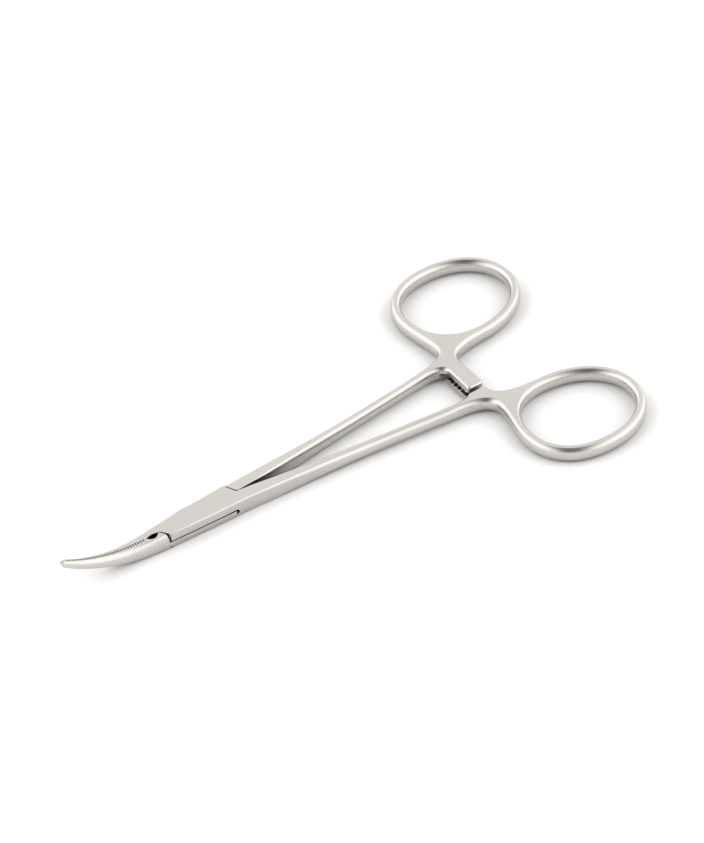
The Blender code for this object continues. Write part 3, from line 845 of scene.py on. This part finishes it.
def build_halves(parts, cutters):
    """Both halves with their cuts, and the pin."""
    hole = ring_hole()
    wide, narrow = half_outline(FEMALE), half_outline(MALE)
    female = make_object("female_half", forged_mesh("female_half", [wide, hole], -1), parts)
    male = make_object("male_half", forged_mesh("male_half", [narrow, hole], 1), parts)
    cut_slot(female, cutters)
    cut_tongue(male, cutters)
    cut_bores((female, male), cutters)
    pin = cylinder("pivot_pin", PIN_RADIUS, (0, 0, 0), (0, 0, LOCK_THICKNESS), parts)
    cut_ratchet(female, male, cutters)
    cut(male, tooth_comb("serrations_male", MALE, 1, cutters))
    cut(female, tooth_comb("serrations_female", FEMALE, -1, cutters))
    return female, male, pin


def feed(links, socket, value):
    """Links a socket to a value that is a socket too, or else sets it."""
    if isinstance(value, bpy.types.NodeSocket):
        links.new(value, socket)
    else:
        socket.default_value = value


def map_range(nodes, links, value, source, target, interpolation="LINEAR"):
    """The value scaled from the source span to the target span."""
    scaled = nodes.new("ShaderNodeMapRange")
    scaled.interpolation_type = interpolation
    for name, level in zip(("From Min", "From Max", "To Min", "To Max"), (*source, *target)):
        scaled.inputs[name].default_value = level
    links.new(value, scaled.inputs["Value"])
    return scaled.outputs["Result"]


def noise(nodes, links, place, scale, detail):
    texture = nodes.new("ShaderNodeTexNoise")
    texture.inputs["Scale"].default_value = scale
    texture.inputs["Detail"].default_value = detail
    links.new(place, texture.inputs["Vector"])
    return texture.outputs["Fac"]


def clouded(nodes, links, cloud, shade):
    """The colour of the steel, a little lighter and darker in clouds."""
    tint = nodes.new("ShaderNodeValToRGB")
    for element, position, level in zip(tint.color_ramp.elements, NOISE_SPAN, CLOUD_LEVELS):
        red = shade * level
        element.position = position
        element.color = (red, red * (1 - STEEL_WARMTH), red * (1 - BLUE_LOSS * STEEL_WARMTH), 1)
    links.new(cloud, tint.inputs["Fac"])
    return tint.outputs["Color"]


def painted_crevice_shade(nodes, links, colour):
    """The colour with painted shade, darker where other faces are close by."""
    for reach, span, deepest in CREVICES:
        nearby = nodes.new("ShaderNodeAmbientOcclusion")
        nearby.samples = CREVICE_SAMPLES
        nearby.inputs["Distance"].default_value = reach
        darker = nodes.new("ShaderNodeVectorMath")
        darker.operation = "SCALE"
        share = map_range(nodes, links, nearby.outputs["AO"], span, (deepest, 1))
        links.new(colour, darker.inputs["Vector"])
        links.new(share, darker.inputs["Scale"])
        colour = darker.outputs["Vector"]
    return colour


def soft_steel(name, shade, roughness):
    """Satin stainless steel: fine grain in the gloss and the relief, and faint cloudiness."""
    material = bpy.data.materials.new(name)
    material.use_nodes = True
    nodes, links = material.node_tree.nodes, material.node_tree.links
    shader = nodes["Principled BSDF"]
    shader.inputs["Metallic"].default_value = 1
    place = nodes.new("ShaderNodeTexCoord").outputs["Object"]
    cloud = noise(nodes, links, place, CLOUD_SCALE, CLOUD_DETAIL)
    grain = noise(nodes, links, place, GRAIN_SCALE, GRAIN_DETAIL)
    # Shade painted into the colour in crevices and near the floor
    colour = painted_crevice_shade(nodes, links, clouded(nodes, links, cloud, shade))
    links.new(colour, shader.inputs["Base Color"])
    span = (roughness - GRAIN_GLOSS, roughness + GRAIN_GLOSS)
    links.new(map_range(nodes, links, grain, NOISE_SPAN, span), shader.inputs["Roughness"])
    relief = nodes.new("ShaderNodeBump")
    relief.inputs["Strength"].default_value = GRAIN_STRENGTH
    relief.inputs["Distance"].default_value = GRAIN_DEPTH
    links.new(grain, relief.inputs["Height"])
    links.new(relief.outputs["Normal"], shader.inputs["Normal"])
    return material


def in_recess(centre, normal):
    """Whether a face lies in a serration or in the eye, where shade is painted."""
    x, y, _ = centre
    if x >= -PLATE_FRONT[0] - EYE_LEAD:
        return False
    level = -PARTING_SHIFT * min((x - JAW_TIP) / (EYE_FRONT - JAW_TIP), 1.0)
    if x > EYE_FRONT:
        return abs(y - level) < MALE.eye + JAW_GAP and abs(normal.z) < EYE_WALL_UP
    turn = math.asin((JAW_BEND_START - x) / JAW_BEND_RADIUS)
    along = abs(normal.x * math.cos(turn) - normal.z * math.sin(turn))
    leaning = along > GROOVE_ALONG and abs(normal.y) > GROOVE_ACROSS
    return leaning and abs(y - level) < JAW_GAP + TOOTH_DEPTH and x > LAST_GROOVE


def unbent(point):
    """The distance along the forging, the height from its middle and the turn of the bend."""
    if point.x >= JAW_BEND_START:
        return point.x, point.z - CENTRE_Z, 0.0
    run, rise = JAW_BEND_START - point.x, CENTRE_Z + JAW_BEND_RADIUS - point.z
    turn = math.atan2(run, rise)
    return JAW_BEND_START - JAW_BEND_RADIUS * turn, JAW_BEND_RADIUS - math.hypot(run, rise), turn


def face_normal(point):
    """The true normal of the forging's upper or lower face beside a point, or None off them."""
    x, height, turn = unbent(point)
    if abs(height) < half_height(x) - FLAT_REACH:
        return None
    sign = math.copysign(1, height)
    slope = (half_height(x + SLOPE_STEP) - half_height(x - SLOPE_STEP)) / (2 * SLOPE_STEP)
    c, s = math.cos(turn), math.sin(turn)
    return Vector((sign * s - slope * c, 0, sign * c + slope * s)).normalized()


def corner_normals(mesh, forged):
    """Smooth normals for each corner that keep the flats flat and the creases sharp."""
    faces = mesh.polygons
    around = [[] for _ in mesh.vertices]
    for face in faces:
        for v in face.vertices:
            around[v].append(face.index)
    flat = [face_normal(v.co) if forged else None for v in mesh.vertices]
    plain = [Vector(face.normal) for face in faces]
    is_flat = [all(flat[v] is not None for v in face.vertices) for face in faces]
    found = []
    for face in faces:
        own = plain[face.index]
        for v in face.vertices:
            near = [k for k in around[v] if plain[k].dot(own) > CREASE]
            if any(is_flat[k] and abs(plain[k].dot(flat[v])) > CREASE for k in near):
                found.append(flat[v] if flat[v].dot(own) > 0 else -flat[v])
                continue
            total = Vector()
            for k in near:
                total += plain[k] * math.sqrt(faces[k].area)
            found.append(total.normalized() if total.length > 0 else own)
    return found


def finish_surface(made, materials, forged):
    """Applies the cuts, then gives each corner its own normal and each face its material."""
    graph = bpy.context.evaluated_depsgraph_get()
    mesh = bpy.data.meshes.new_from_object(made.evaluated_get(graph))
    made.modifiers.clear()
    made.data = mesh
    mesh.materials.clear()
    for material in materials:
        mesh.materials.append(material)
    bm = bmesh.new()
    bm.from_mesh(mesh)
    bmesh.ops.remove_doubles(bm, verts=bm.verts, dist=CUT_MERGE)
    bmesh.ops.dissolve_degenerate(bm, edges=bm.edges, dist=CUT_MERGE)
    bm.to_mesh(mesh)
    bm.free()
    for polygon in mesh.polygons:
        polygon.use_smooth = True
        # Faces in the grooves and the eye take the second steel, dark as painted shade
        recessed = forged and in_recess(polygon.center, polygon.normal)
        polygon.material_index = 1 if recessed else 0
    mesh.normals_split_custom_set(corner_normals(mesh, forged))


def build_pieces():
    """The three pieces in their materials, each in place of its solid."""
    pieces = bpy.data.collections.new("looks")
    cutters = bpy.data.collections.new("cutters")
    bpy.context.scene.collection.children.link(pieces)
    bpy.context.scene.collection.children.link(cutters)
    female, male, pin = build_halves(pieces, cutters)
    bpy.context.view_layer.update()
    for made, node, body in (
        (female, "female_half", "female"),
        (male, "male_half", "male"),
        (pin, "pivot_pin", "female"),
    ):
        forged = made is not pin
        materials = [soft_steel("satin_steel_" + node, STEEL_SHADE, STEEL_ROUGHNESS)]
        # The forged halves also get a dark steel, painted on as shade in their grooves and eye
        if forged:
            materials.append(soft_steel("painted_shade_steel_" + node, RECESS_PAINTED_SHADE, RECESS_ROUGHNESS))
        finish_surface(made, materials, forged)
        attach(made, body)
        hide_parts(node)
    for cutter in list(cutters.objects):
        bpy.data.objects.remove(cutter, do_unlink=True)


def white_floor():
    """Matt white for the floor."""
    material = bpy.data.materials.new("white_floor")
    material.use_nodes = True
    shader = material.node_tree.nodes["Principled BSDF"]
    shader.inputs["Base Color"].default_value = (*FLOOR_SHADE, 1)
    shader.inputs["Roughness"].default_value = FLOOR_ROUGHNESS
    shader.inputs["Specular IOR Level"].default_value = FLOOR_SPECULAR
    return material


def stage_floor():
    """The floor, just under the forceps."""
    bm = bmesh.new()
    bmesh.ops.create_grid(bm, x_segments=1, y_segments=1, size=FLOOR_REACH)
    floor = bpy.data.objects.new("floor", mesh_from(bm, "floor"))
    floor.location.z = -FLOOR_DROP
    bpy.context.scene.collection.objects.link(floor)
    floor.data.materials.append(white_floor())


def direction(azimuth, elevation):
    """The direction to what is seen at these angles. Azimuth 0 is -Y."""
    flat = math.cos(elevation)
    return Vector((math.sin(azimuth) * flat, -math.cos(azimuth) * flat, math.sin(elevation)))


def rightwards(azimuth):
    """The level direction to the right of a camera at this azimuth."""
    return Vector((math.cos(azimuth), math.sin(azimuth), 0))


def facing(nodes, links, place, aim):
    """The cosine between a direction and the aim."""
    dot = nodes.new("ShaderNodeVectorMath")
    dot.operation = "DOT_PRODUCT"
    dot.inputs[1].default_value = aim
    links.new(place, dot.inputs[0])
    return dot.outputs["Value"]


def calculated(nodes, links, operation, *values):
    """What a Math node gives for these sockets and numbers."""
    node = nodes.new("ShaderNodeMath")
    node.operation = operation
    for socket, value in zip(node.inputs, values):
        feed(links, socket, value)
    return node.outputs["Value"]


def band(nodes, links, value, span):
    """A mask that fades from 1 to 0 where |value| crosses the span."""
    size = calculated(nodes, links, "ABSOLUTE", value)
    return map_range(nodes, links, size, span, (1, 0), "SMOOTHSTEP")


def mixed_colours(nodes, links, share, first, second):
    """Two colours mixed, with this share of the second."""
    blend = nodes.new("ShaderNodeMix")
    blend.data_type = "RGBA"
    links.new(share, blend.inputs["Factor"])
    feed(links, blend.inputs["A"], first)
    feed(links, blend.inputs["B"], second)
    return blend.outputs["Result"]


def tinted(level, tint):
    return (*(level * share for share in tint), 1)


def tent_colour(nodes, links):
    """White, brighter at the sides, with the dark patch above the camera."""
    place = nodes.new("ShaderNodeTexCoord").outputs["Generated"]
    side = facing(nodes, links, place, rightwards(DARK_AZIMUTH))
    middle = facing(nodes, links, place, direction(DARK_AZIMUTH, DARK_ELEVATION))
    across = band(nodes, links, side, DARK_WIDTH)
    upright = band(nodes, links, calculated(nodes, links, "SUBTRACT", 1, middle), DARK_HEIGHT)
    patch = calculated(nodes, links, "MULTIPLY", across, upright)
    centred = band(nodes, links, side, SIDE_WIDTH)
    bright, plain = tinted(SIDE_LIGHT, TENT_TINT), tinted(TENT_LIGHT, TENT_TINT)
    white = mixed_colours(nodes, links, centred, bright, plain)
    return mixed_colours(nodes, links, patch, white, tinted(DARK_LIGHT, DARK_TINT))


def world_light():
    """The tent around the forceps. The camera itself sees plain white."""
    world = bpy.data.worlds.new("tent")
    bpy.context.scene.world = world
    world.use_nodes = True
    nodes, links = world.node_tree.nodes, world.node_tree.links
    nodes.clear()
    switch = nodes.new("ShaderNodeMixShader")
    for socket, colour in zip(switch.inputs[1:], (tent_colour(nodes, links), (1, 1, 1, 1))):
        light = nodes.new("ShaderNodeBackground")
        light.inputs["Strength"].default_value = 1
        feed(links, light.inputs["Color"], colour)
        links.new(light.outputs["Background"], socket)
    path = nodes.new("ShaderNodeLightPath")
    links.new(path.outputs["Is Camera Ray"], switch.inputs["Fac"])
    out = nodes.new("ShaderNodeOutputWorld")
    links.new(switch.outputs["Shader"], out.inputs["Surface"])


def softbox(name, place, side, power):
    """A square light for the floor, which the steel does not mirror."""
    data = bpy.data.lights.new(name, "AREA")
    data.shape = "SQUARE"
    data.size = side
    data.energy = power
    light = bpy.data.objects.new(name, data)
    bpy.context.scene.collection.objects.link(light)
    light.location = place
    light.rotation_mode = "QUATERNION"
    light.rotation_quaternion = (Vector(SOFTBOX_AIM) - Vector(place)).to_track_quat("-Z", "Y")
    light.visible_camera = False
    light.visible_glossy = False


def place_camera():
    """The camera, rolled about its line of sight."""
    back, right = direction(CAMERA_AZIMUTH, CAMERA_ELEVATION), rightwards(CAMERA_AZIMUTH)
    up = back.cross(right)
    c, s = math.cos(CAMERA_ROLL), math.sin(CAMERA_ROLL)
    right, up = c * right + s * up, -s * right + c * up
    data = bpy.data.cameras.new("camera")
    data.lens = CAMERA_LENS
    data.sensor_width = CAMERA_SENSOR
    data.clip_start, data.clip_end = CAMERA_CLIP
    camera = bpy.data.objects.new("camera", data)
    bpy.context.scene.collection.objects.link(camera)
    turned = Matrix((right, up, back)).transposed().to_4x4()
    camera.matrix_world = Matrix.Translation(CAMERA_TARGET + CAMERA_DISTANCE * back) @ turned
    bpy.context.scene.camera = camera


build_pieces()
stage_floor()
world_light()
for box in SOFTBOXES:
    softbox(*box)
place_camera()
bpy.context.scene.view_settings.view_transform = "Standard"
